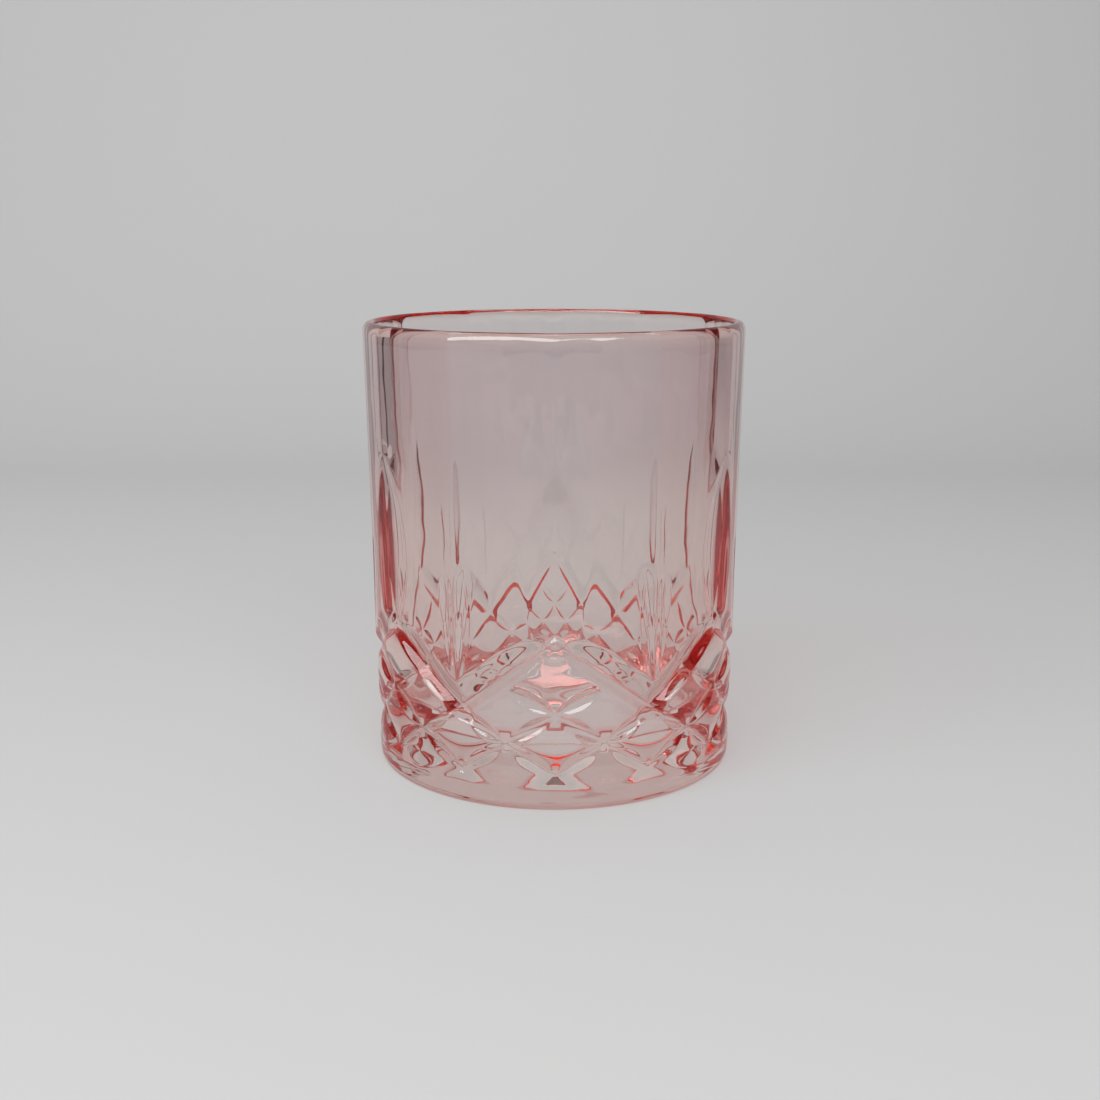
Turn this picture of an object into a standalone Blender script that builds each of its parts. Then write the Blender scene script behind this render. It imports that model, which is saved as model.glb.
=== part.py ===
"""Pressed-glass whiskey tumbler: one closed glass body with a cut pattern on its outside.

The outside is a round blank trimmed by the cuts of a press mould, so each azimuth and height has one radius:
twelve flat panels above, a round band below, and over them six lancets, twelve short flutes, twelve boat cuts
and a lattice of leaf cuts. The inside is a turned cavity. Metres, +Z up, foot on z = 0, axis on Z.
"""

from math import cos, pi, radians, sin

import bmesh
import bpy
import numpy as np

MM = 0.001

# Round blank. The rim radius is over the panels' corners
HEIGHT = 95.85 * MM
RIM_RADIUS = 41.1 * MM
BAND_RADIUS = 39.85 * MM
BAND_TOP_Z = 30.0 * MM
FOOT_RADIUS = 39.35 * MM
FOOT_ROUNDING = 0.9 * MM

# Lip, cavity and underside
LIP_WIDTH = 2.8 * MM
LIP_DROP = 2.4 * MM  # height over which the outside curves in to the crest
LIP_INNER_DROP = 1.0 * MM
LIP_SHARE = 0.72  # how far across the lip its crest lies, from the outside
FLOOR_Z = 11.4 * MM
HEEL_RADIUS = 9.0 * MM
CAVITY_RADIUS = 35.8 * MM  # where the wall meets the heel curve
FLOOR_DISH = 0.5 * MM
RECESS_RADIUS = 35.0 * MM
RECESS_DEPTH = 0.8 * MM

# Panels, slightly fuller than flat. Their corners stand straight, then lean out from LEAN_Z
PANEL_STEP = radians(30.0)
PANEL_FLATNESS = 0.7
CORNER_RADIUS = 40.2 * MM
LEAN_Z = 46.0 * MM
LEAN_SOFTNESS = 8.0 * MM

# Cuts repeat each big step. A large X stands half a big step from each lancet
BIG_STEP = 2 * PANEL_STEP
HALF_STEP = PANEL_STEP / 2
CROSSING_Z = 20.4 * MM

# Lattice: leaf cuts between crossings, and lozenges that swell between them
LATTICE_ROWS = 2
ROW_DROP = 6.6 * MM
LEAF_HALF_WIDTH = 1.7 * MM
LEAF_DEPTH = 0.8 * MM
LEAF_SOFTNESS = 1.0
LOW_LEAF_SHARE = 0.5  # depth of each row's leaves over that of the row above
PILLOW_DEPTH = 0.6 * MM
PILLOW_EXTRA = 1.2  # the lowest row is this much deeper again
PILLOW_ROUNDNESS = 0.75
FADE_ABOVE = 1.0 * MM
FADE_BELOW = 3.0 * MM

# Small arms rise from the star under each lancet
ARM_SPAN = radians(14.0)
ARM_RISE = 5.0 * MM

# Boat cuts rise from each large X, deepest along a line near their lower edge
BOAT_TIP = radians(27.6)
BOAT_RISE = 14.0 * MM
BOAT_TAIL = 4.0 * MM
BOAT_DEPTH = 2.0 * MM
BOAT_TIP_SHARE = 0.85  # depth towards the tip, over that at the X
BOAT_EASE = 4.0
BOAT_BLUNTNESS = 6
BOAT_BROAD = 4.3 * MM
BOAT_NARROW = 2.0 * MM
BOAT_HOLLOW = 1.5
STEP_RISE = 1.0 * MM  # height over which the band gives way to the panels

# Lancets: a hollow facet whose depth grows from the apex and eases off below
LANCET_APEX_Z = 70.6 * MM
LANCET_SLOPE = 0.1216
LANCET_EASE = 2.85
LANCET_HOLLOW = 0.6 * MM
LANCET_SPREAD = 5.4  # half-width over depth
LANCET_FADE = 8.0 * MM

# Flutes: a pair beside the panel corner above each large X, meeting at the foot
FLUTE_TOP_Z = 49.0 * MM
FLUTE_FOOT_Z = 25.0 * MM
FLUTE_OFFSET = radians(3.4)
FLUTE_HALF_WIDTH = 2.4 * MM
FLUTE_DEPTH = 0.4 * MM
FLUTE_BLUNTNESS = 8

# Fire polish: how far each edge is rounded off
POLISH = 0.4 * MM

# Mesh density. Columns fall on the panel corners and, with the rows, on the crossings
COLUMNS = 96
ROWS_PER_DROP = 4
BAND_ROWS_ABOVE = 10
WALL_ROWS = (40, 43, 46, 49, 53, 57, 61, 66, 71, 82)  # millimetres
LIP_STEPS = 4
LIP_INNER_STEPS = 2
FOOT_STEPS = 3
RECESS_STEPS = 5
HEEL_STEPS = 5
WALL_STEPS = 2
CLEAR = 1.0 * MM  # how far past the surface a cut lies where it takes nothing off
REACH = 4.0  # half-widths beyond which a boat's offset is no longer followed
TINY = 1e-4  # keeps a division by a vanishing width finite
CREASE_ANGLE = radians(18)


def from_nearest(angle, step, start=0.0):
    """Unsigned angle to the nearest of the azimuths start, start + step, ..."""
    turned = angle - start
    return np.abs(turned - step * np.round(turned / step))


def smooth_min(first, second):
    """The lesser of two, with the edge where they cross rounded off."""
    near = np.maximum(POLISH - np.abs(first - second), 0.0) / POLISH
    return np.minimum(first, second) - near**2 * POLISH / 4


def smooth_step(value, start, end):
    """0 before start, 1 after end, with a smooth slope between."""
    share = np.clip((value - start) / (end - start), 0.0, 1.0)
    return share * share * (3 - 2 * share)


def lean(z):
    """Nothing well below LEAN_Z and the height over it well above, with a soft bend between."""
    above = z - LEAN_Z
    return (np.hypot(above, LEAN_SOFTNESS) + above) / 2


def corner_radius(z):
    """Radius over the panels' corners, which is the rim radius where the lip begins."""
    lip_z = HEIGHT - LIP_DROP
    return CORNER_RADIUS + (RIM_RADIUS - CORNER_RADIUS) * lean(np.minimum(z, lip_z)) / lean(lip_z)


def blank_radius(z):
    """The band bows out from the foot up to its top."""
    bow = (BAND_RADIUS - FOOT_RADIUS) / BAND_TOP_Z**2
    return BAND_RADIUS - bow * np.maximum(BAND_TOP_Z - z, 0.0) ** 2


def leaf_depth(angle, z, start, end):
    """Depth of a leaf-shaped hollow laid from start to end, each an (azimuth, height) on the band."""
    run = BAND_RADIUS * (end[0] - start[0])
    rise = end[1] - start[1]
    length = np.hypot(run, rise)
    across_x = BAND_RADIUS * (angle - start[0])
    across_z = z - start[1]
    along = 2 * (across_x * run + across_z * rise) / length**2 - 1
    offset = (across_x * rise - across_z * run) / length
    fullness = np.maximum(1 - along**2, TINY)
    hollow = np.maximum(1 - (offset / (LEAF_HALF_WIDTH * fullness)) ** 2, 0.0)
    return LEAF_DEPTH * fullness * hollow**LEAF_SOFTNESS


def lattice_depth(angle, z):
    """The deepest leaf of the lattice at each point."""
    folded = from_nearest(angle, PANEL_STEP)
    depth = np.zeros_like(folded)
    for row in range(LATTICE_ROWS):
        ends = (0.0, HALF_STEP) if row % 2 == 0 else (HALF_STEP, 0.0)
        start = (ends[0], CROSSING_Z - row * ROW_DROP)
        end = (ends[1], start[1] - ROW_DROP)
        leaf = leaf_depth(folded, z, start, end)
        depth = np.maximum(depth, leaf * LOW_LEAF_SHARE**row)
    return depth


def arm_depth(angle, z):
    """The small upper arms of the star under each lancet."""
    folded = from_nearest(angle, BIG_STEP)
    start = (0.0, CROSSING_Z)
    end = (ARM_SPAN, CROSSING_Z + ARM_RISE)
    return leaf_depth(folded, z, start, end)


def pillow_depth(angle, z):
    """Each lozenge of the lattice swells between its four cuts. Below the last row the foot is plain."""
    across = angle / PANEL_STEP
    down = (CROSSING_Z - z) / (2 * ROW_DROP)
    swell = np.abs(np.sin(pi * (across + down)) * np.sin(pi * (across - down)))
    last_z = CROSSING_Z - LATTICE_ROWS * ROW_DROP
    lowest = 1 - smooth_step(z, CROSSING_Z - 1.5 * ROW_DROP, CROSSING_Z - 0.5 * ROW_DROP)
    depth = PILLOW_DEPTH * (1 + PILLOW_EXTRA * lowest)
    return depth * (1 - swell**PILLOW_ROUNDNESS) * smooth_step(z, last_z - FADE_BELOW, last_z + FADE_ABOVE)


def boat_radius(angle, z, below, above):
    """A boat cut rising from a crossing at angle 0 between the band (below) and the panels (above)."""
    run = BAND_RADIUS * BOAT_TIP
    length = np.hypot(run, BOAT_RISE)
    across_x = BAND_RADIUS * angle
    across_z = z - CROSSING_Z
    along = (across_x * run + across_z * BOAT_RISE) / length
    offset = (across_z * run - across_x * BOAT_RISE) / length
    share = np.clip(along / length, 0.0, 1.0)
    tail = np.clip(-along / BOAT_TAIL, 0.0, 1.0)
    fullness = np.sqrt(np.maximum(1 - share**BOAT_BLUNTNESS, 0.0)) * np.sqrt(np.maximum(1 - tail**2, 0.0))
    fullness = np.maximum(fullness, TINY)
    depth = BOAT_DEPTH * (BOAT_TIP_SHARE + (1 - BOAT_TIP_SHARE) * np.exp(-BOAT_EASE * share)) * fullness**2
    upper = np.clip(offset / (BOAT_BROAD * fullness), 0.0, REACH)
    lower = np.clip(-offset / (BOAT_NARROW * fullness), 0.0, REACH)
    bottom = np.minimum(below, above) - depth
    rising = bottom + (above - bottom) * upper**BOAT_HOLLOW + np.maximum(upper - 1, 0.0) * CLEAR
    falling = bottom + (below - bottom) * lower**BOAT_HOLLOW + np.maximum(lower - 1, 0.0) * CLEAR
    inside = (along < length) & (along > -BOAT_TAIL)
    return np.where(inside, np.where(offset > 0, rising, falling), np.maximum(below, above) + CLEAR)


def above_boats(angle, z):
    """0 on the band and 1 on the panels. The change follows the boats."""
    folded = from_nearest(angle, BIG_STEP, PANEL_STEP)
    line = CROSSING_Z + BOAT_RISE * folded / BOAT_TIP
    return smooth_step(z, line, line + STEP_RISE)


def panel_radius(angle, z):
    """Twelve panels, crossing at the corners where the edge between them is rounded."""
    corner = corner_radius(z)
    left = (np.floor(angle / PANEL_STEP) + 0.5) * PANEL_STEP
    flats = [corner * cos(HALF_STEP) / np.cos(angle - left - side * PANEL_STEP) for side in (-1, 0, 1)]
    flat = smooth_min(smooth_min(flats[0], flats[1]), flats[2]) + POLISH / 4
    return corner + (flat - corner) * PANEL_FLATNESS


def lancet_radius(angle, z):
    """Six hollow facets, each cut squarely across a panel corner."""
    below = np.maximum(LANCET_APEX_Z - z, 0.0)
    depth = LANCET_SLOPE * below - LANCET_EASE * below**2
    aside = from_nearest(angle, BIG_STEP)
    width = np.maximum(depth * LANCET_SPREAD, TINY * MM)
    hollow = LANCET_HOLLOW * np.minimum(below / LANCET_FADE, 1.0) * (1 - (BAND_RADIUS * aside / width) ** 2)
    facet = (corner_radius(z) - depth) / np.cos(aside) - np.maximum(hollow, 0.0)
    return np.where(z < LANCET_APEX_Z, facet, corner_radius(z) + CLEAR)


def flute_depth(angle, z):
    """Two hollows side by side, round at the top and drawn to a point at the foot."""
    folded = from_nearest(angle, BIG_STEP, PANEL_STEP)
    share = np.clip((z - FLUTE_FOOT_Z) / (FLUTE_TOP_Z - FLUTE_FOOT_Z), 0.0, 1.0)
    fullness = np.maximum(np.sqrt(share) * np.sqrt(1 - share**FLUTE_BLUNTNESS), TINY)
    offset = BAND_RADIUS * (folded - FLUTE_OFFSET * np.sqrt(share))
    return FLUTE_DEPTH * fullness * np.maximum(1 - (offset / (FLUTE_HALF_WIDTH * fullness)) ** 2, 0.0) ** 2


def outer_radius(angle, z, limit):
    """The radius left when every cut has been taken, and no more than limit."""
    upper = smooth_min(panel_radius(angle, z), lancet_radius(angle, z)) - flute_depth(angle, z)
    leaves = np.maximum(lattice_depth(angle, z), arm_depth(angle, z))
    lower = blank_radius(z) - pillow_depth(angle, z) - leaves
    radius = lower + (upper - lower) * above_boats(angle, z)
    folded = from_nearest(angle, BIG_STEP, PANEL_STEP)
    for turned in (folded, -folded, BIG_STEP - folded):
        radius = smooth_min(radius, boat_radius(turned, z, lower, upper))
    return smooth_min(radius, limit)


def arc(centre_r, centre_z, radius, first, last, steps):
    """Points (r, z) round an arc, both ends included, angles in degrees from outward."""
    turns = np.radians(np.linspace(first, last, steps + 1))
    return [(centre_r + radius * cos(t), centre_z + radius * sin(t)) for t in turns]


def outer_profile():
    """Greatest radius and height of each cut ring, from the foot ring up to where the lip begins."""
    foot_centre = FOOT_RADIUS - FOOT_ROUNDING
    profile = arc(foot_centre, FOOT_ROUNDING, FOOT_ROUNDING, -90, 0, FOOT_STEPS)
    pitch = ROW_DROP / ROWS_PER_DROP
    rows_below = int((CROSSING_Z - FOOT_ROUNDING) / pitch)
    heights = [CROSSING_Z + pitch * row for row in range(-rows_below, BAND_ROWS_ABOVE + 1)]
    heights += [row * MM for row in WALL_ROWS]
    heights.append(HEIGHT - LIP_DROP)
    return profile + [(RIM_RADIUS + CLEAR, z) for z in heights]


def lip_profile(wall_radii):
    """Radii and height of each ring over the lip. The crest follows the panels in and out."""
    inside = RIM_RADIUS - LIP_WIDTH
    crest = wall_radii - LIP_SHARE * (wall_radii - inside)
    profile = []
    for turn in np.radians(np.linspace(0, 90, LIP_STEPS + 1)[1:]):
        profile.append((crest + (wall_radii - crest) * cos(turn), HEIGHT - LIP_DROP * (1 - sin(turn))))
    for turn in np.radians(np.linspace(90, 180, LIP_INNER_STEPS + 1)[1:]):
        profile.append((crest + (crest - inside) * cos(turn), HEIGHT - LIP_INNER_DROP * (1 - sin(turn))))
    return profile


def inner_profile():
    """Turned cavity: down the wall from the lip, round the heel and in along the dished floor."""
    heel_centre = CAVITY_RADIUS - HEEL_RADIUS
    heel = arc(heel_centre, FLOOR_Z + HEEL_RADIUS, HEEL_RADIUS, 0, -90, HEEL_STEPS)
    top = np.array((RIM_RADIUS - LIP_WIDTH, HEIGHT - LIP_INNER_DROP))
    bottom = np.array(heel[0])
    shares = [step / (WALL_STEPS + 1) for step in range(1, WALL_STEPS + 1)]
    wall = [tuple(top + (bottom - top) * share) for share in shares]
    dish = [(heel_centre / 2, FLOOR_Z - FLOOR_DISH * 3 / 4)]
    return wall + heel + dish


def underside_profile():
    """From the flat foot ring inward over a shallow dome."""
    shares = np.linspace(1, 0, RECESS_STEPS + 1)[:-1]
    return [(RECESS_RADIUS * share, RECESS_DEPTH * (1 + cos(pi * share)) / 2) for share in shares]


def add_ring(bm, radii, z):
    """A closed ring of vertices at one height. Azimuth 0 faces -Y."""
    angles = 2 * pi * np.arange(len(radii)) / len(radii)
    return [bm.verts.new((r * sin(a), -r * cos(a), z)) for r, a in zip(radii, angles, strict=True)]


def add_turned_rings(bm, profile):
    """Plain rings of a turned surface, with half the columns of the cut outside."""
    return [add_ring(bm, [r] * (COLUMNS // 2), z) for r, z in profile]


def add_outer_rings(bm):
    """The cut outside, ring by ring, from the foot up to the lip, and then the lip."""
    angles = 2 * pi * np.arange(COLUMNS) / COLUMNS
    wall = []
    for limit, z in outer_profile():
        radii = outer_radius(angles, np.full(COLUMNS, z), np.full(COLUMNS, limit))
        wall.append(add_ring(bm, radii, z))
    return wall, [add_ring(bm, lip_radii, z) for lip_radii, z in lip_profile(radii)]


def true_radius(corners):
    """Radius of the cut outside in the middle of four corners."""
    middle = sum((corner.co for corner in corners), corners[0].co * 0) / 4
    angle = np.array([np.arctan2(middle.x, -middle.y)])
    height = np.array([middle.z])
    return float(outer_radius(angle, height, RIM_RADIUS + CLEAR)[0])


def add_quad(bm, corners, cut):
    """One face, or on the cut outside two triangles split along the diagonal nearer the true surface."""
    if not cut:
        bm.faces.new(corners)
        return
    a, b, c, d = corners
    wanted = true_radius(corners) * cos(pi / COLUMNS)
    error_ac = abs((a.co.xy.length + c.co.xy.length) / 2 * cos(pi / COLUMNS) - wanted)
    error_bd = abs((b.co.xy.length + d.co.xy.length) / 2 * cos(pi / COLUMNS) - wanted)
    if error_ac < error_bd:
        bm.faces.new((a, b, c))
        bm.faces.new((a, c, d))
    else:
        bm.faces.new((a, b, d))
        bm.faces.new((b, c, d))


def bridge(bm, lower, upper, cut=False):
    """Faces from one ring to the next. Counts are equal, or one ring has half the other's."""
    count = max(len(lower), len(upper))
    for i in range(count):
        j = (i + 1) % count
        if len(lower) == len(upper):
            add_quad(bm, (lower[i], lower[j], upper[j], upper[i]), cut)
        elif len(lower) > len(upper):
            bm.faces.new((lower[i], lower[j], upper[j // 2 if i % 2 else i // 2]))
            if i % 2:
                k = (i // 2 + 1) % len(upper)
                bm.faces.new((lower[i], upper[k], upper[i // 2]))
        else:
            bm.faces.new((upper[j], upper[i], lower[j // 2 if i % 2 else i // 2]))
            if i % 2:
                k = (i // 2 + 1) % len(lower)
                bm.faces.new((lower[i // 2], lower[k], upper[i]))


def close_ring(bm, ring, centre, outward_down):
    """A fan from a ring to a vertex on the axis."""
    tip = bm.verts.new(centre)
    for i, corner in enumerate(ring):
        following = ring[(i + 1) % len(ring)]
        order = (following, corner, tip) if outward_down else (corner, following, tip)
        bm.faces.new(order)


def build_glass():
    """Rings in one run: under the foot, up the outside, over the lip and down into the cavity."""
    bm = bmesh.new()
    under = add_turned_rings(bm, list(reversed(underside_profile())))
    outside, lip = add_outer_rings(bm)
    inside = add_turned_rings(bm, inner_profile())
    rings = under + outside + lip + inside
    for lower, upper in zip(rings, rings[1:]):
        cut = any(lower is ring for ring in outside) and any(upper is ring for ring in outside)
        bridge(bm, lower, upper, cut)
    close_ring(bm, rings[0], (0, 0, RECESS_DEPTH), outward_down=True)
    close_ring(bm, rings[-1], (0, 0, FLOOR_Z - FLOOR_DISH), outward_down=False)
    mesh = bpy.data.meshes.new("glass_body")
    bm.to_mesh(mesh)
    bm.free()
    mesh.shade_smooth()
    mesh.set_sharp_from_angle(angle=CREASE_ANGLE)
    return mesh


def pink_glass():
    """Clear soda-lime glass with a pink lustre on its outside."""
    material = bpy.data.materials.new("pink_pressed_glass")
    material.use_nodes = True
    shader = material.node_tree.nodes["Principled BSDF"]
    shader.inputs["Base Color"].default_value = (0.86, 0.52, 0.53, 1.0)
    shader.inputs["Roughness"].default_value = 0.03
    shader.inputs["Metallic"].default_value = 0.0
    shader.inputs["IOR"].default_value = 1.52
    shader.inputs["Transmission Weight"].default_value = 1.0
    return material


def main():
    for old in list(bpy.data.objects):
        bpy.data.objects.remove(old, do_unlink=True)
    body = bpy.data.objects.new("glass_body", build_glass())
    body.data.materials.append(pink_glass())
    bpy.context.scene.collection.objects.link(body)


main()
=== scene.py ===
"""Whiskey tumbler in pink pressed glass: the fine glass surface, its lustre coat, and a plain soft studio."""

from math import cos, pi, radians, sin

import bpy
import numpy as np
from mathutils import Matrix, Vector


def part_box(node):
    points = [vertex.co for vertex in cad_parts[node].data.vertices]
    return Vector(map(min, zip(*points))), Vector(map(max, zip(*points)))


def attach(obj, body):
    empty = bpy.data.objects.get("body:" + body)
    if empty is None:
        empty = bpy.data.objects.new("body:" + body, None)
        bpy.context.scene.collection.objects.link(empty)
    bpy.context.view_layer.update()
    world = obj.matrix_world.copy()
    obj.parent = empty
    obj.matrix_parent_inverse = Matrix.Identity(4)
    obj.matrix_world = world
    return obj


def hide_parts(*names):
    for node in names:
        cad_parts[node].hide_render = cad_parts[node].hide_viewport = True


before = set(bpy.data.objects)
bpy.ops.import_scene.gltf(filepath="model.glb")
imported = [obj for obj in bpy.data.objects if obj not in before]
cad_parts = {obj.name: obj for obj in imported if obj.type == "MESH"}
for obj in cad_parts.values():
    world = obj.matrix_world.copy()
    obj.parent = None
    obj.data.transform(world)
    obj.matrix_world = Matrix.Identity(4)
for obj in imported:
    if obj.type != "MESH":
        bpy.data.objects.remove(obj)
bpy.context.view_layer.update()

MM = 0.001
low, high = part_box("glass_body")

# Round blank. The overall size comes from the CAD solid
HEIGHT = high[2] - low[2]
RIM_RADIUS = (high[0] - low[0]) / 2
BAND_RADIUS = 39.85 * MM
BAND_TOP_Z = 30.0 * MM
FOOT_RADIUS = 39.35 * MM
FOOT_ROUNDING = 0.9 * MM

# Lip, cavity and underside
LIP_WIDTH = 2.8 * MM
LIP_DROP = 2.4 * MM  # height over which the outside curves in to the crest
LIP_INNER_DROP = 1.0 * MM
LIP_SHARE = 0.72  # how far across the lip its crest lies, from the outside
FLOOR_Z = 11.4 * MM
HEEL_RADIUS = 9.0 * MM
CAVITY_RADIUS = 35.8 * MM  # where the wall meets the heel curve
FLOOR_DISH = 0.5 * MM
RECESS_RADIUS = 35.0 * MM
RECESS_DEPTH = 0.8 * MM

# Panels, slightly fuller than flat. Their corners stand straight, then lean out from LEAN_Z
PANEL_STEP = radians(30.0)
PANEL_FLATNESS = 0.7
CORNER_RADIUS = 40.2 * MM
LEAN_Z = 46.0 * MM
LEAN_SOFTNESS = 8.0 * MM

# Cuts repeat each big step. A large X stands half a big step from each lancet
BIG_STEP = 2 * PANEL_STEP
HALF_STEP = PANEL_STEP / 2
CROSSING_Z = 20.4 * MM

# Lattice: leaf cuts between crossings, and lozenges that swell between them
LATTICE_ROWS = 2
ROW_DROP = 6.6 * MM
LEAF_HALF_WIDTH = 1.7 * MM
LEAF_DEPTH = 0.8 * MM
LOW_LEAF_SHARE = 0.5  # depth of each row's leaves over that of the row above
PILLOW_DEPTH = 0.6 * MM
PILLOW_EXTRA = 1.2  # extra depth between the lowest lozenges, over that of the rest
PILLOW_EXTRA_BAND = (11.0 * MM, 17.0 * MM)  # heights over which that comes in
PILLOW_ROUNDNESS = 0.75
FADE_ABOVE = 1.0 * MM
FADE_BELOW = 3.0 * MM

# Small arms rise from the star under each lancet
ARM_SPAN = radians(14.0)
ARM_RISE = 5.0 * MM

# Boat cuts rise from each large X, deepest along a line near their lower edge
BOAT_TIP = radians(27.6)
BOAT_RISE = 14.0 * MM
BOAT_TAIL = 4.0 * MM
BOAT_DEPTH = 2.0 * MM
BOAT_TIP_SHARE = 0.85  # depth towards the tip, over that at the X
BOAT_EASE = 4.0
BOAT_BLUNTNESS = 6
BOAT_BROAD = 4.3 * MM
BOAT_NARROW = 2.0 * MM
BOAT_HOLLOW = 1.5
STEP_RISE = 1.0 * MM  # height over which the band gives way to the panels

# Lancets: a hollow facet whose depth grows from the apex and eases off below
LANCET_APEX_Z = 70.6 * MM
LANCET_SLOPE = 0.1216
LANCET_EASE = 2.85
LANCET_HOLLOW = 0.6 * MM
LANCET_SPREAD = 5.4  # half-width over depth
LANCET_FADE = 8.0 * MM

# Flutes: a pair beside the panel corner above each large X, meeting at the foot
FLUTE_TOP_Z = 49.0 * MM
FLUTE_FOOT_Z = 25.0 * MM
FLUTE_OFFSET = radians(3.4)
FLUTE_HALF_WIDTH = 2.4 * MM
FLUTE_DEPTH = 0.4 * MM
FLUTE_BLUNTNESS = 8

# Fire polish: how far each edge is rounded off
POLISH = 0.4 * MM

# Mesh density
COLUMNS = 720
BAND_PITCH = 0.36 * MM
MIDDLE_PITCH = 0.7 * MM
WALL_PITCH = 1.5 * MM
FOOT_STEPS = 10
LIP_STEPS = 20
LIP_INNER_STEPS = 12
CAVITY_STEPS = 23
HEEL_STEPS = 16
DISH_STEPS = 11
RING_STEPS = 5
DOME_STEPS = 35

# Keeping the cuts apart and their widths off zero
CLEAR = 1.0 * MM  # how far past the surface a boat lies where it takes nothing off
FAR = 1.0  # the same for a lancet
REACH = 4.0  # half-widths beyond which a boat's offset is no longer followed
THIN = 1e-4
TINY = 1e-6


def from_nearest(angle, step, start=0.0):
    """Unsigned angle to the nearest of the azimuths start, start + step, ..."""
    turned = angle - start
    return np.abs(turned - step * np.round(turned / step))


def smooth_min(first, second):
    """The lesser of two, with the edge where they cross rounded off."""
    near = np.maximum(POLISH - np.abs(first - second), 0.0) / POLISH
    return np.minimum(first, second) - near**2 * POLISH / 4


def smooth_step(value, start, end):
    """0 before start, 1 after end, with a smooth slope between."""
    share = np.clip((value - start) / (end - start), 0.0, 1.0)
    return share * share * (3 - 2 * share)


def lean(z):
    """Nothing well below LEAN_Z and the height over it well above, with a soft bend between."""
    above = z - LEAN_Z
    return (np.hypot(above, LEAN_SOFTNESS) + above) / 2


def corner_radius(z):
    """Radius over the panels' corners, which is the rim radius where the lip begins."""
    lip_z = HEIGHT - LIP_DROP
    return CORNER_RADIUS + (RIM_RADIUS - CORNER_RADIUS) * lean(np.minimum(z, lip_z)) / lean(lip_z)


def blank_radius(z):
    """The band bows out from the foot up to its top."""
    bow = (BAND_RADIUS - FOOT_RADIUS) / BAND_TOP_Z**2
    return BAND_RADIUS - bow * np.maximum(BAND_TOP_Z - z, 0.0) ** 2


def leaf_depth(angle, z, start, end):
    """Depth of a leaf-shaped hollow laid from start to end, each an (azimuth, height) on the band."""
    run = BAND_RADIUS * (end[0] - start[0])
    rise = end[1] - start[1]
    length = np.hypot(run, rise)
    across_x = BAND_RADIUS * (angle - start[0])
    across_z = z - start[1]
    along = 2 * (across_x * run + across_z * rise) / length**2 - 1
    offset = (across_x * rise - across_z * run) / length
    fullness = np.maximum(1 - along**2, TINY)
    return LEAF_DEPTH * fullness * np.maximum(1 - (offset / (LEAF_HALF_WIDTH * fullness)) ** 2, 0.0)


def lattice_depth(angle, z):
    """The deepest leaf of the lattice at each point."""
    folded = from_nearest(angle, PANEL_STEP)
    depth = np.zeros_like(folded)
    for row in range(LATTICE_ROWS):
        ends = (0.0, HALF_STEP) if row % 2 == 0 else (HALF_STEP, 0.0)
        start = (ends[0], CROSSING_Z - row * ROW_DROP)
        end = (ends[1], start[1] - ROW_DROP)
        depth = np.maximum(depth, leaf_depth(folded, z, start, end) * LOW_LEAF_SHARE**row)
    return depth


def arm_depth(angle, z):
    """The small upper arms of the star under each lancet."""
    folded = from_nearest(angle, BIG_STEP)
    return leaf_depth(folded, z, (0.0, CROSSING_Z), (ARM_SPAN, CROSSING_Z + ARM_RISE))


def pillow_depth(angle, z):
    """Each lozenge of the lattice swells between its four cuts. Below the last row the foot is plain."""
    across = angle / PANEL_STEP
    down = (CROSSING_Z - z) / (2 * ROW_DROP)
    swell = np.abs(np.sin(pi * (across + down)) * np.sin(pi * (across - down)))
    last_z = CROSSING_Z - LATTICE_ROWS * ROW_DROP
    depth = PILLOW_DEPTH * (1 + PILLOW_EXTRA * (1 - smooth_step(z, *PILLOW_EXTRA_BAND)))
    return depth * (1 - swell**PILLOW_ROUNDNESS) * smooth_step(z, last_z - FADE_BELOW, last_z + FADE_ABOVE)


def boat_radius(angle, z, below, above):
    """A boat cut rising from a crossing at angle 0 between the band (below) and the panels (above)."""
    run = BAND_RADIUS * BOAT_TIP
    length = np.hypot(run, BOAT_RISE)
    across_x = BAND_RADIUS * angle
    across_z = z - CROSSING_Z
    along = (across_x * run + across_z * BOAT_RISE) / length
    offset = (across_z * run - across_x * BOAT_RISE) / length
    share = np.clip(along / length, 0.0, 1.0)
    tail = np.clip(-along / BOAT_TAIL, 0.0, 1.0)
    fullness = np.sqrt(np.maximum(1 - share**BOAT_BLUNTNESS, 0.0)) * np.sqrt(np.maximum(1 - tail**2, 0.0))
    fullness = np.maximum(fullness, THIN)
    depth = BOAT_DEPTH * (BOAT_TIP_SHARE + (1 - BOAT_TIP_SHARE) * np.exp(-BOAT_EASE * share)) * fullness**2
    upper = np.clip(offset / (BOAT_BROAD * fullness), 0.0, REACH)
    lower = np.clip(-offset / (BOAT_NARROW * fullness), 0.0, REACH)
    bottom = np.minimum(below, above) - depth
    rising = bottom + (above - bottom) * upper**BOAT_HOLLOW + np.maximum(upper - 1, 0.0) * CLEAR
    falling = bottom + (below - bottom) * lower**BOAT_HOLLOW + np.maximum(lower - 1, 0.0) * CLEAR
    inside = (along < length) & (along > -BOAT_TAIL)
    return np.where(inside, np.where(offset > 0, rising, falling), np.maximum(below, above) + CLEAR)


def above_boats(angle, z):
    """0 on the band and 1 on the panels. The change follows the boats."""
    folded = from_nearest(angle, BIG_STEP, PANEL_STEP)
    line = CROSSING_Z + BOAT_RISE * folded / BOAT_TIP
    return smooth_step(z, line, line + STEP_RISE)


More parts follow.
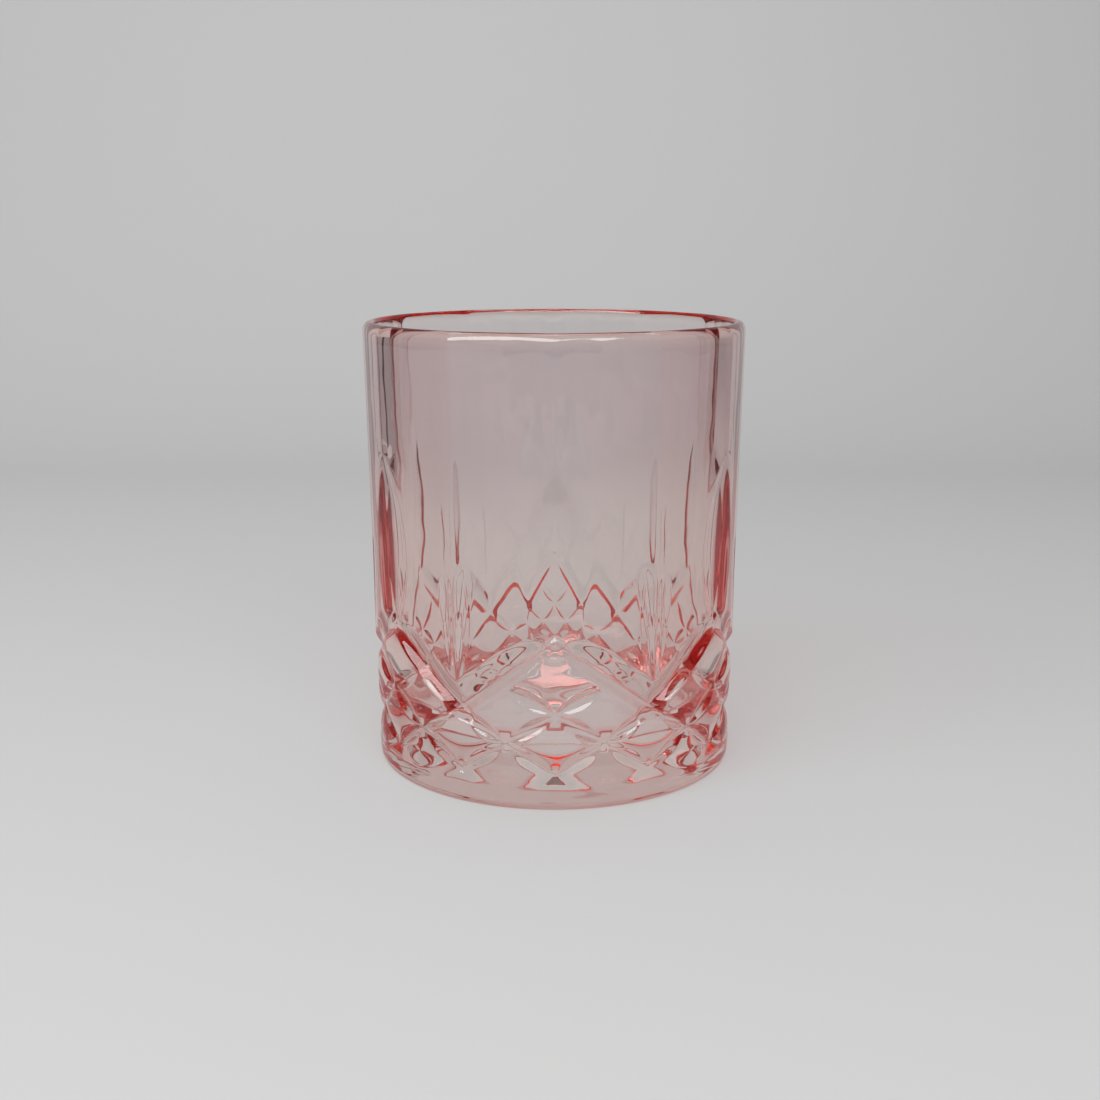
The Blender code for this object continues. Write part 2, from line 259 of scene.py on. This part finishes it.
def panel_radius(angle, z):
    """Twelve panels, crossing at the corners where the edge between them is rounded."""
    corner = corner_radius(z)
    left = (np.floor(angle / PANEL_STEP) + 0.5) * PANEL_STEP
    flats = [corner * cos(HALF_STEP) / np.cos(angle - left - side * PANEL_STEP) for side in (-1, 0, 1)]
    flat = smooth_min(smooth_min(flats[0], flats[1]), flats[2]) + POLISH / 4
    return corner + (flat - corner) * PANEL_FLATNESS


def lancet_radius(angle, z):
    """Six hollow facets, each cut squarely across a panel corner."""
    below = np.maximum(LANCET_APEX_Z - z, 0.0)
    depth = LANCET_SLOPE * below - LANCET_EASE * below**2
    aside = from_nearest(angle, BIG_STEP)
    width = np.maximum(depth * LANCET_SPREAD, TINY)
    hollow = LANCET_HOLLOW * np.minimum(below / LANCET_FADE, 1.0) * (1 - (BAND_RADIUS * aside / width) ** 2)
    facet = (corner_radius(z) - depth) / np.cos(aside) - np.maximum(hollow, 0.0)
    return np.where(z < LANCET_APEX_Z, facet, corner_radius(z) + FAR)


def flute_depth(angle, z):
    """Two hollows side by side, round at the top and drawn to a point at the foot."""
    folded = from_nearest(angle, BIG_STEP, PANEL_STEP)
    share = np.clip((z - FLUTE_FOOT_Z) / (FLUTE_TOP_Z - FLUTE_FOOT_Z), 0.0, 1.0)
    fullness = np.maximum(np.sqrt(share) * np.sqrt(1 - share**FLUTE_BLUNTNESS), THIN)
    offset = BAND_RADIUS * (folded - FLUTE_OFFSET * np.sqrt(share))
    depth = FLUTE_DEPTH * fullness * np.maximum(1 - (offset / (FLUTE_HALF_WIDTH * fullness)) ** 2, 0.0) ** 2
    return np.where((z > FLUTE_FOOT_Z) & (z < FLUTE_TOP_Z), depth, 0.0)


def outer_radius(angle, z, limit):
    """The radius left when every cut has been taken, and no more than limit."""
    upper = smooth_min(panel_radius(angle, z), lancet_radius(angle, z)) - flute_depth(angle, z)
    leaves = np.maximum(lattice_depth(angle, z), arm_depth(angle, z))
    lower = blank_radius(z) - pillow_depth(angle, z) - leaves
    radius = lower + (upper - lower) * above_boats(angle, z)
    folded = from_nearest(angle, BIG_STEP, PANEL_STEP)
    for turned in (folded, -folded, BIG_STEP - folded):
        radius = smooth_min(radius, boat_radius(turned, z, lower, upper))
    return smooth_min(radius, limit)


def arc(centre_r, centre_z, radius, first, last, steps):
    """Points (r, z) round an arc, both ends included, angles in degrees from outward."""
    turns = np.radians(np.linspace(first, last, steps + 1))
    return [(centre_r + radius * cos(t), centre_z + radius * sin(t)) for t in turns]


def outer_rings(angles):
    """Radii and height of each ring of the outside, from the foot to where the lip begins."""
    foot_centre = FOOT_RADIUS - FOOT_ROUNDING
    profile = arc(foot_centre, FOOT_ROUNDING, FOOT_ROUNDING, -90, 0, FOOT_STEPS)
    levels = [FOOT_ROUNDING, CROSSING_Z + BOAT_RISE + 3.0 * MM, LANCET_APEX_Z, HEIGHT - LIP_DROP]
    for low_z, high_z, pitch in zip(levels, levels[1:], (BAND_PITCH, MIDDLE_PITCH, WALL_PITCH)):
        heights = np.linspace(low_z, high_z, round((high_z - low_z) / pitch) + 1)[1:]
        profile += [(RIM_RADIUS + CLEAR, float(z)) for z in heights]
    return [(outer_radius(angles, np.full(len(angles), z), np.full(len(angles), r)), z) for r, z in profile]


def lip_rings(wall_radii):
    """Over the lip, from the outer wall to the cavity. The crest follows the panels in and out."""
    inside = RIM_RADIUS - LIP_WIDTH
    crest = wall_radii - LIP_SHARE * (wall_radii - inside)
    rings = []
    for turn in np.radians(np.linspace(0, 90, LIP_STEPS + 1)[1:]):
        rings.append((crest + (wall_radii - crest) * cos(turn), HEIGHT - LIP_DROP * (1 - sin(turn))))
    for turn in np.radians(np.linspace(90, 180, LIP_INNER_STEPS + 1)[1:]):
        rings.append((crest + (crest - inside) * cos(turn), HEIGHT - LIP_INNER_DROP * (1 - sin(turn))))
    return rings


def cavity_profile():
    """Down the wall from the lip, round the heel and in along the dished floor."""
    heel_centre = CAVITY_RADIUS - HEEL_RADIUS
    heel = arc(heel_centre, FLOOR_Z + HEEL_RADIUS, HEEL_RADIUS, 0, -90, HEEL_STEPS)
    top, bottom = (RIM_RADIUS - LIP_WIDTH, HEIGHT - LIP_INNER_DROP), heel[0]
    shares = np.linspace(0, 1, CAVITY_STEPS + 1)[1:-1]
    wall = [(top[0] + (bottom[0] - top[0]) * s, top[1] + (bottom[1] - top[1]) * s) for s in shares]
    shares = np.linspace(1, 0, DISH_STEPS + 1)[1:-1]
    dish = [(heel_centre * s, FLOOR_Z - FLOOR_DISH * (1 - s**2)) for s in shares]
    return wall + heel + dish


def underside_profile():
    """From the foot ring inward over a shallow dome."""
    foot = FOOT_RADIUS - FOOT_ROUNDING
    shares = np.linspace(0, 1, RING_STEPS + 1)[1:-1]
    ring = [(foot + (RECESS_RADIUS - foot) * s, 0.0) for s in shares]
    shares = np.linspace(1, 0, DOME_STEPS + 1)[:-1]
    dome = [(RECESS_RADIUS * s, RECESS_DEPTH * (1 + cos(pi * s)) / 2) for s in shares]
    return ring + dome


def bridge(lower_start, lower_count, upper_start, upper_count):
    """Faces from one ring to the next. Counts are equal, or one ring has half the other's."""
    a, b = lower_start, upper_start
    count = max(lower_count, upper_count)
    faces = []
    for i in range(count):
        j = (i + 1) % count
        half = j // 2 if i % 2 else i // 2
        if lower_count == upper_count:
            faces.append((a + i, a + j, b + j, b + i))
        elif lower_count > upper_count:
            faces.append((a + i, a + j, b + half))
            if i % 2:
                faces.append((a + i, b + (i // 2 + 1) % upper_count, b + i // 2))
        else:
            faces.append((b + j, b + i, a + half))
            if i % 2:
                faces.append((a + i // 2, a + (i // 2 + 1) % lower_count, b + i))
    return faces


def all_rings():
    """Radii, height and whether it is coated for each ring: under the foot, outside, lip, cavity."""
    angles = 2 * pi * np.arange(COLUMNS) / COLUMNS
    outside = outer_rings(angles)
    rings = [(np.full(COLUMNS // 2, r), z, False) for r, z in reversed(underside_profile())]
    rings += [(radii, z, True) for radii, z in outside + lip_rings(outside[-1][0])]
    rings += [(np.full(COLUMNS // 2, r), z, False) for r, z in cavity_profile()]
    return rings


def build_mesh():
    """The glass as one closed surface. Material slot 0 is bare glass and slot 1 is coated."""
    rings = all_rings()
    points, starts = [np.array([[0, 0, RECESS_DEPTH]])], []
    count = 1
    for radii, z, _ in rings:
        angles = 2 * pi * np.arange(len(radii)) / len(radii)
        points.append(np.stack([radii * np.sin(angles), -radii * np.cos(angles), np.full(len(radii), z)], 1))
        starts.append(count)
        count += len(radii)
    points.append(np.array([[0, 0, FLOOR_Z - FLOOR_DISH]]))
    first, last = len(rings[0][0]), len(rings[-1][0])
    faces = [(starts[0] + (i + 1) % first, starts[0] + i, 0) for i in range(first)]
    slots = [0] * first
    for k in range(len(rings) - 1):
        band = bridge(starts[k], len(rings[k][0]), starts[k + 1], len(rings[k + 1][0]))
        faces += band
        slots += [int(rings[k][2] and rings[k + 1][2])] * len(band)
    faces += [(starts[-1] + i, starts[-1] + (i + 1) % last, count) for i in range(last)]
    slots += [0] * last
    mesh = bpy.data.meshes.new("glass_tumbler")
    mesh.from_pydata(np.concatenate(points).tolist(), [], faces)
    mesh.polygons.foreach_set("material_index", slots)
    mesh.shade_smooth()
    mesh.update()
    return mesh


# Glass and its coat

GLASS_IOR = 1.52
BARE_SHADOW = (0.96, 0.96, 0.96)
COATED_SHADOW = (0.92, 0.82, 0.82)

# What the coat passes on the way in and on the way out, and what it sends back into the glass
LOW_IN = (0.96, 0.91, 0.89)
HIGH_IN = (0.86, 0.78, 0.80)
LOW_OUT = (0.97, 0.93, 0.915)
HIGH_OUT = (0.96, 0.905, 0.905)
LOW_BOUNCE = (0.90, 0.40, 0.37)
HIGH_BOUNCE = (0.80, 0.38, 0.38)
LIP_PASS = (0.99, 0.91, 0.885)
LIP_BOUNCE = (0.98, 0.90, 0.86)
SLANT_TINT = (1.0, 0.80, 0.77)
# Multiplied in towards the foot's bottom edge to make it deeper red
FOOT_TINT = (0.90, 0.72, 0.70)

# Where the coat turns from its low colour to its high one, and how uneven that edge is
COAT_CHANGE = (46.0 * MM, 84.0 * MM)
COAT_CLOUD_SCALE = 28.0
COAT_CLOUD_HEIGHT = 36.0 * MM
LIP_PASS_SPAN = 3.5 * MM
LIP_BOUNCE_SPAN = 9.0 * MM
# Heights over which the colour turns deeper red towards the foot's bottom edge
FOOT_EDGE_SPAN = (2.0 * MM, 0.6 * MM)
SLANT_POWER = 0.6

# Waviness of the surface
RIPPLE_HEIGHT = 0.12 * MM
SWELL_SCALE = 110.0
STREAK_SCALE = 260.0
STREAK_SQUASH = 0.06
STREAK_SHARE = 0.10

# Scuffs on the foot ring
SCUFF_ROUGHNESS = 0.14
SCUFF_SCALE = 900.0
SCUFF_UNEVENNESS = 1.0 * MM
SCUFF_HEIGHTS = (0.8 * MM, 2.6 * MM)
SCUFF_RADII = (RECESS_RADIUS - 1.0 * MM, RECESS_RADIUS + 1.5 * MM)


class Nodes:
    """A node tree being wired up."""

    def __init__(self, tree):
        self.tree = tree
        tree.nodes.clear()

    def add(self, kind, **settings):
        node = self.tree.nodes.new(kind)
        for key, value in settings.items():
            setattr(node, key, value)
        return node

    def link(self, source, target):
        self.tree.links.new(source, target)

    def math(self, operation, *values):
        """The result of an operation on numbers or sockets."""
        node = self.add("ShaderNodeMath", operation=operation)
        for socket, value in zip(node.inputs, values):
            if isinstance(value, bpy.types.NodeSocket):
                self.link(value, socket)
            else:
                socket.default_value = value
        return node.outputs[0]

    def ramp(self, value, span, ends=(0.0, 1.0), smooth=True):
        """A value carried from a span to two ends, and held at them beyond it."""
        kind = "SMOOTHSTEP" if smooth else "LINEAR"
        node = self.add("ShaderNodeMapRange", interpolation_type=kind)
        names = ("From Min", "From Max", "To Min", "To Max")
        for name, number in zip(names, (*span, *ends), strict=True):
            node.inputs[name].default_value = number
        self.link(value, node.inputs["Value"])
        return node.outputs["Result"]

    def mix(self, share, first, second, blend_type="MIX"):
        """One colour mixed with another. Either may be a socket."""
        node = self.add("ShaderNodeMix", data_type="RGBA", blend_type=blend_type)
        self.link(share, node.inputs["Factor"])
        for socket, colour in ((node.inputs[6], first), (node.inputs[7], second)):
            if isinstance(colour, bpy.types.NodeSocket):
                self.link(colour, socket)
            else:
                socket.default_value = (*colour, 1)
        return node.outputs[2]

    def noise(self, place, scale, detail=2.0):
        node = self.add("ShaderNodeTexNoise", noise_dimensions="3D")
        node.inputs["Scale"].default_value = scale
        node.inputs["Detail"].default_value = detail
        self.link(place, node.inputs["Vector"])
        return node.outputs[0]

    def scaled(self, vector, factors):
        node = self.add("ShaderNodeVectorMath", operation="MULTIPLY")
        self.link(vector, node.inputs[0])
        node.inputs[1].default_value = factors
        return node.outputs[0]

    def place(self):
        """Where the point lies, and its height."""
        position = self.add("ShaderNodeNewGeometry").outputs["Position"]
        split = self.add("ShaderNodeSeparateXYZ")
        self.link(position, split.inputs[0])
        return position, split.outputs["Z"]


def coat_tint(nodes, low_colour, high_colour, lip_colour, lip_span):
    """The lustre's colour: warm low down, mauver above an uneven edge, thin on the lip, deeper red towards
    the foot's bottom edge.
    """
    position, height = nodes.place()
    cloud = nodes.noise(position, COAT_CLOUD_SCALE)
    uneven = nodes.math("MULTIPLY_ADD", cloud, COAT_CLOUD_HEIGHT, height)
    start, end = (level + COAT_CLOUD_HEIGHT / 2 for level in COAT_CHANGE)
    wall = nodes.mix(nodes.ramp(uneven, (start, end)), low_colour, high_colour)
    thinning = nodes.ramp(height, (HEIGHT - lip_span, HEIGHT - lip_span / 3), smooth=False)
    lip = nodes.mix(thinning, wall, lip_colour)
    return nodes.mix(nodes.ramp(height, FOOT_EDGE_SPAN), lip, FOOT_TINT, blend_type="MULTIPLY")


def slant_tint(nodes, colour, normal):
    """Deeper pink where the line of sight slants through the coat, as on the flanks of the cuts."""
    weight = nodes.add("ShaderNodeLayerWeight")
    weight.inputs["Blend"].default_value = 0.5
    nodes.link(normal, weight.inputs["Normal"])
    slant = nodes.math("POWER", weight.outputs["Facing"], SLANT_POWER)
    return nodes.mix(slant, colour, SLANT_TINT, blend_type="MULTIPLY")


def ripple(nodes):
    """The faint waviness of pressed glass: slow swells all over, and streaks running up the wall."""
    position, _ = nodes.place()
    swell = nodes.noise(position, SWELL_SCALE, 1.0)
    streak = nodes.noise(nodes.scaled(position, (1.0, 1.0, STREAK_SQUASH)), STREAK_SCALE, 1.0)
    bump = nodes.add("ShaderNodeBump")
    bump.inputs["Strength"].default_value = 1.0
    bump.inputs["Distance"].default_value = RIPPLE_HEIGHT
    nodes.link(nodes.math("MULTIPLY_ADD", streak, STREAK_SHARE, swell), bump.inputs["Height"])
    return bump.outputs[0]


def foot_scuffs(nodes):
    """Roughness: the foot ring is scuffed where the glass has stood, and the rest is polished."""
    position, height = nodes.place()
    uneven = nodes.math("MULTIPLY_ADD", nodes.noise(position, SCUFF_SCALE), SCUFF_UNEVENNESS, height)
    fade = nodes.ramp(uneven, SCUFF_HEIGHTS, (SCUFF_ROUGHNESS, 0.0))
    radius = nodes.add("ShaderNodeVectorMath", operation="LENGTH")
    nodes.link(nodes.scaled(position, (1.0, 1.0, 0.0)), radius.inputs[0])
    ring = nodes.ramp(radius.outputs["Value"], SCUFF_RADII)
    return nodes.math("MULTIPLY", fade, ring)


def glass_shader(nodes, coated):
    """Clear glass, with the coat's colours on it where there is one."""
    backfacing = nodes.add("ShaderNodeNewGeometry").outputs["Backfacing"]
    refraction = nodes.add("ShaderNodeBsdfRefraction")
    reflection = nodes.add("ShaderNodeBsdfGlossy")
    fresnel = nodes.add("ShaderNodeFresnel")
    normal = ripple(nodes)
    for shader in (refraction, reflection, fresnel):
        nodes.link(normal, shader.inputs["Normal"])
    for shader in (refraction, fresnel):
        shader.inputs["IOR"].default_value = GLASS_IOR
    scuffs = foot_scuffs(nodes)
    nodes.link(scuffs, refraction.inputs["Roughness"])
    nodes.link(nodes.math("MULTIPLY", scuffs, backfacing), reflection.inputs["Roughness"])
    if coated:
        inward = slant_tint(nodes, coat_tint(nodes, LOW_IN, HIGH_IN, LIP_PASS, LIP_PASS_SPAN), normal)
        outward = coat_tint(nodes, LOW_OUT, HIGH_OUT, LIP_PASS, LIP_PASS_SPAN)
        bounce = coat_tint(nodes, LOW_BOUNCE, HIGH_BOUNCE, LIP_BOUNCE, LIP_BOUNCE_SPAN)
        nodes.link(nodes.mix(backfacing, inward, outward), refraction.inputs["Color"])
        nodes.link(nodes.mix(backfacing, (1, 1, 1), bounce), reflection.inputs["Color"])
    else:
        for shader in (refraction, reflection):
            shader.inputs["Color"].default_value = (1, 1, 1, 1)
    glass = nodes.add("ShaderNodeMixShader")
    nodes.link(fresnel.outputs[0], glass.inputs[0])
    nodes.link(refraction.outputs[0], glass.inputs[1])
    nodes.link(reflection.outputs[0], glass.inputs[2])
    return glass.outputs[0]


def glass_material(name, coated):
    """Glass, which lets shadow and diffuse rays straight through with a light tint."""
    material = bpy.data.materials.new(name)
    material.use_nodes = True
    nodes = Nodes(material.node_tree)
    clear = nodes.add("ShaderNodeBsdfTransparent")
    clear.inputs[0].default_value = (*(COATED_SHADOW if coated else BARE_SHADOW), 1)
    path = nodes.add("ShaderNodeLightPath")
    choose = nodes.add("ShaderNodeMixShader")
    either = nodes.math("MAXIMUM", path.outputs["Is Shadow Ray"], path.outputs["Is Diffuse Ray"])
    nodes.link(either, choose.inputs[0])
    nodes.link(glass_shader(nodes, coated), choose.inputs[1])
    nodes.link(clear.outputs[0], choose.inputs[2])
    output = nodes.add("ShaderNodeOutputMaterial")
    nodes.link(choose.outputs[0], output.inputs["Surface"])
    return material


def build_tumbler():
    body = bpy.data.objects.new("glass_tumbler", build_mesh())
    bpy.context.scene.collection.objects.link(body)
    body.data.materials.append(glass_material("clear_glass", coated=False))
    body.data.materials.append(glass_material("lustre_glass", coated=True))
    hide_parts("glass_body")
    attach(body, "root")


# Studio, in metres. The tumbler stands at the origin

PAPER_SHADE = 0.485
SWEEP_HALF_WIDTH = 0.9
SWEEP_FRONT = -1.6
SWEEP_FLAT_END = 0.36
SWEEP_BEND = 0.35
SWEEP_TOP = 1.0
SWEEP_STEPS = 24

CARD_STEPS = 12
CARD_FOOT = 1.0 * MM

ROOM_SHADE = 0.5
ROOM_DARK = 0.26
ROOM_PALE = 0.9
ROOM_THROUGH = 0.35  # how far straight-through rays see it paler

CAMERA_LENS = 45.82
CAMERA_SHIFT = -0.0038
CAMERA_DISTANCE = 303.3 * MM
CAMERA_HEIGHT = 115.6 * MM
CAMERA_TURN = radians(-0.31)
CAMERA_TILT = radians(90 - 13.08)  # up from straight down


def matt_material(name, shade):
    """A matt grey, and its shader."""
    material = bpy.data.materials.new(name)
    material.use_nodes = True
    shader = material.node_tree.nodes["Principled BSDF"]
    shader.inputs["Base Color"].default_value = (shade, shade, shade, 1)
    shader.inputs["Roughness"].default_value = 0.9
    return material, shader


def build_sweep():
    """A floor that curves up into a backdrop."""
    outline = [(SWEEP_FRONT, 0.0), (SWEEP_FLAT_END, 0.0)]
    for i in range(1, SWEEP_STEPS + 1):
        t = pi / 2 * i / SWEEP_STEPS
        outline.append((SWEEP_FLAT_END + SWEEP_BEND * sin(t), SWEEP_BEND * (1 - cos(t))))
    outline.append((SWEEP_FLAT_END + SWEEP_BEND, SWEEP_TOP))
    verts = [(x, y, z) for y, z in outline for x in (-SWEEP_HALF_WIDTH, SWEEP_HALF_WIDTH)]
    faces = [(2 * i, 2 * i + 1, 2 * i + 3, 2 * i + 2) for i in range(len(outline) - 1)]
    mesh = bpy.data.meshes.new("sweep")
    mesh.from_pydata(verts, [], faces)
    mesh.shade_smooth()
    paper, shader = matt_material("pale_paper", PAPER_SHADE)
    shader.inputs["Specular IOR Level"].default_value = 0.2
    mesh.materials.append(paper)
    sweep = bpy.data.objects.new("sweep", mesh)
    sweep.location.z = low[2] - 0.05 * MM
    bpy.context.scene.collection.objects.link(sweep)


def add_softbox(name, place, size, energy, aim):
    """An area light, in watts, that the camera doesn't see."""
    lamp = bpy.data.lights.new(name, "AREA")
    lamp.shape = "RECTANGLE"
    lamp.size, lamp.size_y = size
    lamp.energy = energy
    box = bpy.data.objects.new(name, lamp)
    box.location = place
    direction = Vector(aim) - Vector(place)
    box.rotation_euler = direction.to_track_quat("-Z", "Y").to_euler()
    box.visible_camera = False
    bpy.context.scene.collection.objects.link(box)


def card_material(name, shade):
    """Matt, and clear to any ray that hasn't bounced off the glass."""
    material, shader = matt_material(name, shade)
    tree = material.node_tree
    path = tree.nodes.new("ShaderNodeLightPath")
    clear = tree.nodes.new("ShaderNodeBsdfTransparent")
    choose = tree.nodes.new("ShaderNodeMixShader")
    bounced = tree.nodes.new("ShaderNodeMath")
    bounced.operation = "MINIMUM"
    bounced.inputs[1].default_value = 1.0
    tree.links.new(path.outputs["Glossy Depth"], bounced.inputs[0])
    tree.links.new(bounced.outputs[0], choose.inputs[0])
    tree.links.new(clear.outputs[0], choose.inputs[1])
    tree.links.new(shader.outputs[0], choose.inputs[2])
    tree.links.new(choose.outputs[0], tree.nodes["Material Output"].inputs["Surface"])
    return material


def add_card(name, distance, bearings, height, shade):
    """An upright card beyond the picture's edge. Bearings turn clockwise from straight behind the tumbler."""
    first, last = radians(bearings[0]), radians(bearings[1])
    turns = [first + (last - first) * i / CARD_STEPS for i in range(CARD_STEPS + 1)]
    verts = [(distance * sin(t), distance * cos(t), z) for t in turns for z in (CARD_FOOT, height)]
    faces = [(2 * i, 2 * i + 2, 2 * i + 3, 2 * i + 1) for i in range(CARD_STEPS)]
    mesh = bpy.data.meshes.new(name)
    mesh.from_pydata(verts, [], faces)
    mesh.materials.append(card_material(name, shade))
    card = bpy.data.objects.new(name, mesh)
    card.visible_camera = False
    card.visible_diffuse = False
    card.visible_shadow = False
    bpy.context.scene.collection.objects.link(card)


def build_world():
    """A grey room, paler where it is seen directly or straight through the glass."""
    world = bpy.data.worlds.new("room")
    bpy.context.scene.world = world
    world.use_nodes = True
    nodes = Nodes(world.node_tree)
    path = nodes.add("ShaderNodeLightPath")
    bounces = nodes.math("ADD", path.outputs["Glossy Depth"], path.outputs["Diffuse Depth"])
    straight = nodes.math("LESS_THAN", bounces, 0.5)
    through = nodes.math("MULTIPLY", path.outputs["Is Transmission Ray"], ROOM_THROUGH)
    seen = nodes.math("MAXIMUM", straight, through)
    background = nodes.add("ShaderNodeBackground")
    background.inputs["Color"].default_value = (ROOM_SHADE, ROOM_SHADE, ROOM_SHADE, 1)
    strength = nodes.ramp(seen, (0.0, 1.0), (ROOM_DARK, ROOM_PALE), smooth=False)
    nodes.link(strength, background.inputs["Strength"])
    output = nodes.add("ShaderNodeOutputWorld")
    nodes.link(background.outputs[0], output.inputs["Surface"])


def build_camera():
    camera = bpy.data.cameras.new("camera")
    camera.sensor_width = 36.0
    camera.lens = CAMERA_LENS
    camera.shift_x = CAMERA_SHIFT
    eye = bpy.data.objects.new("camera", camera)
    across, back = CAMERA_DISTANCE * sin(CAMERA_TURN), CAMERA_DISTANCE * cos(CAMERA_TURN)
    eye.location = (across, -back, CAMERA_HEIGHT)
    eye.rotation_euler = (CAMERA_TILT, 0.0, CAMERA_TURN)
    bpy.context.scene.collection.objects.link(eye)
    bpy.context.scene.camera = eye


def set_light_paths():
    """Enough bounces for light to find its way out of the base, and no stray hot spots."""
    scene = bpy.context.scene
    scene.view_settings.view_transform = "Standard"
    scene.cycles.max_bounces = 32
    scene.cycles.transmission_bounces = 28
    scene.cycles.glossy_bounces = 28
    scene.cycles.diffuse_bounces = 4
    scene.cycles.transparent_max_bounces = 32
    scene.cycles.sample_clamp_indirect = 1.4


build_tumbler()
build_sweep()
add_softbox("softbox", place=(-0.19, -0.65, 0.66), size=(1.7, 0.42), energy=16.0, aim=(0.0, 0.0, 0.04))
add_softbox("backlight", place=(0.0, 0.2, 1.0), size=(1.0, 0.3), energy=3.4, aim=(0.0, 0.7, 0.45))
add_card("grey_card", distance=0.37, bearings=(-68, -38), height=0.13, shade=0.36)
add_card("black_flag", distance=0.36, bearings=(-56, -52), height=0.13, shade=0.01)
add_card("front_flag", distance=0.80, bearings=(150, 210), height=0.9, shade=0.02)
build_world()
build_camera()
set_light_paths()
